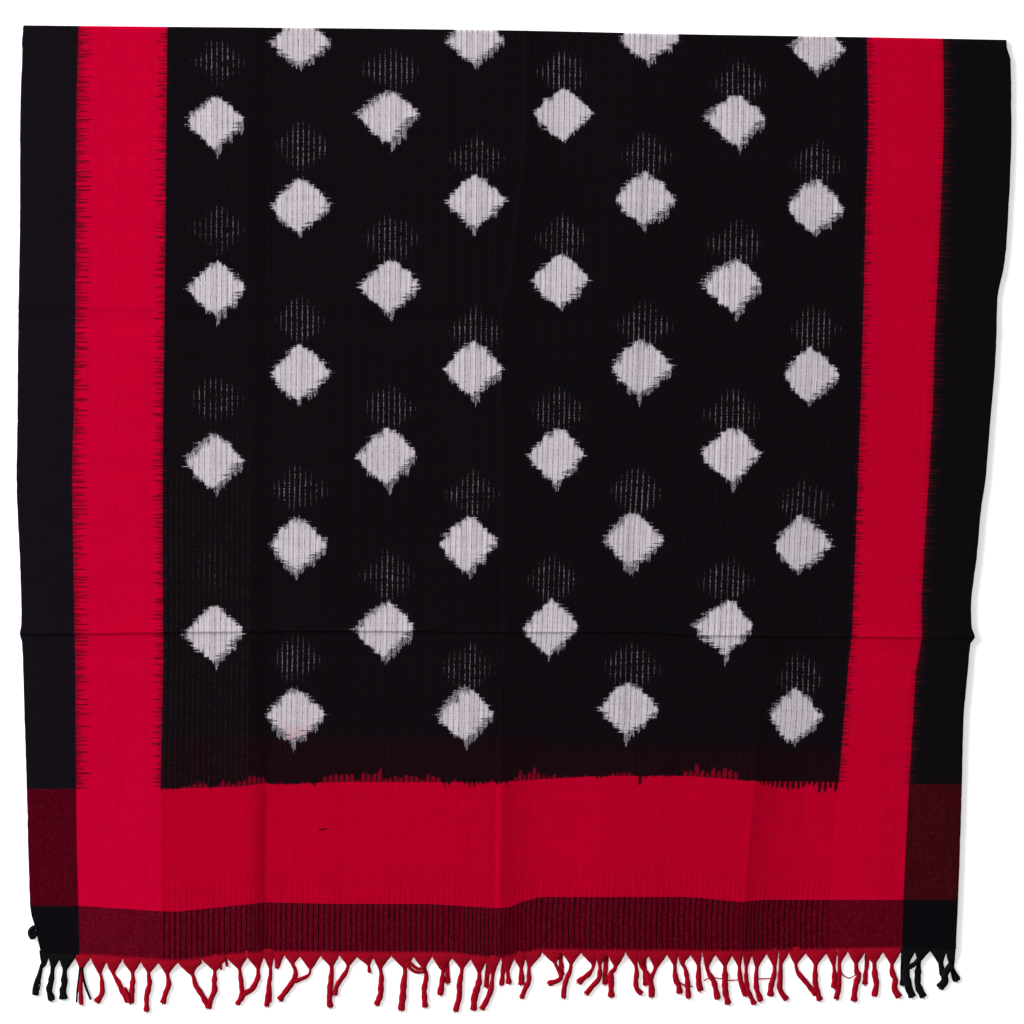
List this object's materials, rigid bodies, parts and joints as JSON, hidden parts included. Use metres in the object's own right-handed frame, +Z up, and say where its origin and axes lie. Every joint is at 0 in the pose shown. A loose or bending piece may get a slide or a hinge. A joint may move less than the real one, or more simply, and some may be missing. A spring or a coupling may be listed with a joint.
{
  "type": "folded ikat shawl",
  "caption": "Cotton ikat shawl folded once across its length, lying flat, with side bands, an end band, a field of diamonds and twisted fringes.",
  "frame": {"origin": "on the surface that the shawl lies on, under the middle of its whole outline, fringe included", "axes": "+Y from the fringe towards the fold, +X towards the right selvedge as seen from above, +Z up"},
  "size_m": [0.9943, 0.9857, 0.0055],
  "materials": {
    "cloth": "matt handwoven cotton, black ground with red bands and white diamonds",
    "fringe": "matt twisted cotton warp ends, red, and black at the selvedges"
  },
  "bodies": {
    "root": {"cloth": "cloth", "fringe_front": "fringe", "fringe_rear": "fringe"}
  },
  "joints": []
}
